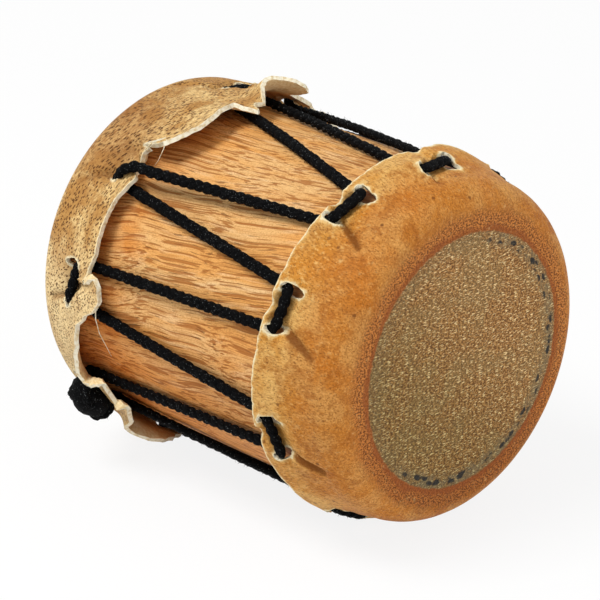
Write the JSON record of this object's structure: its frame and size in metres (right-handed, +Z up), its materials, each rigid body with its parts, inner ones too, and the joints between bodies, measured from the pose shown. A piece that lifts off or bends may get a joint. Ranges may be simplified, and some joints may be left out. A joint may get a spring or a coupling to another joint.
{
  "type": "laced drum",
  "caption": "Small two-headed wooden drum: a hollow shell with a rawhide head at each end, pulled tight by one zigzag lacing cord knotted on the back head.",
  "frame": {"origin": "centre of the bottom of the part's box, on the surface that the drum lies on", "axes": "+X runs along the drum's axis towards the front head, +Y is level across the drum, +Z is up"},
  "size_m": [0.14, 0.1256, 0.1254],
  "materials": {
    "shell_wood": "oiled, fine straight grain along the drum",
    "front_rawhide": "smooth orange-tan rawhide, grey-brown playing face",
    "back_rawhide": "pale rawhide with dark hair follicles",
    "cord": "black braided cord, slightly glossy"
  },
  "bodies": {
    "root": {"shell": "shell_wood", "front_head": "front_rawhide", "back_head": "back_rawhide", "lacing_cord": "cord", "lacing_knot": "cord"}
  },
  "joints": []
}
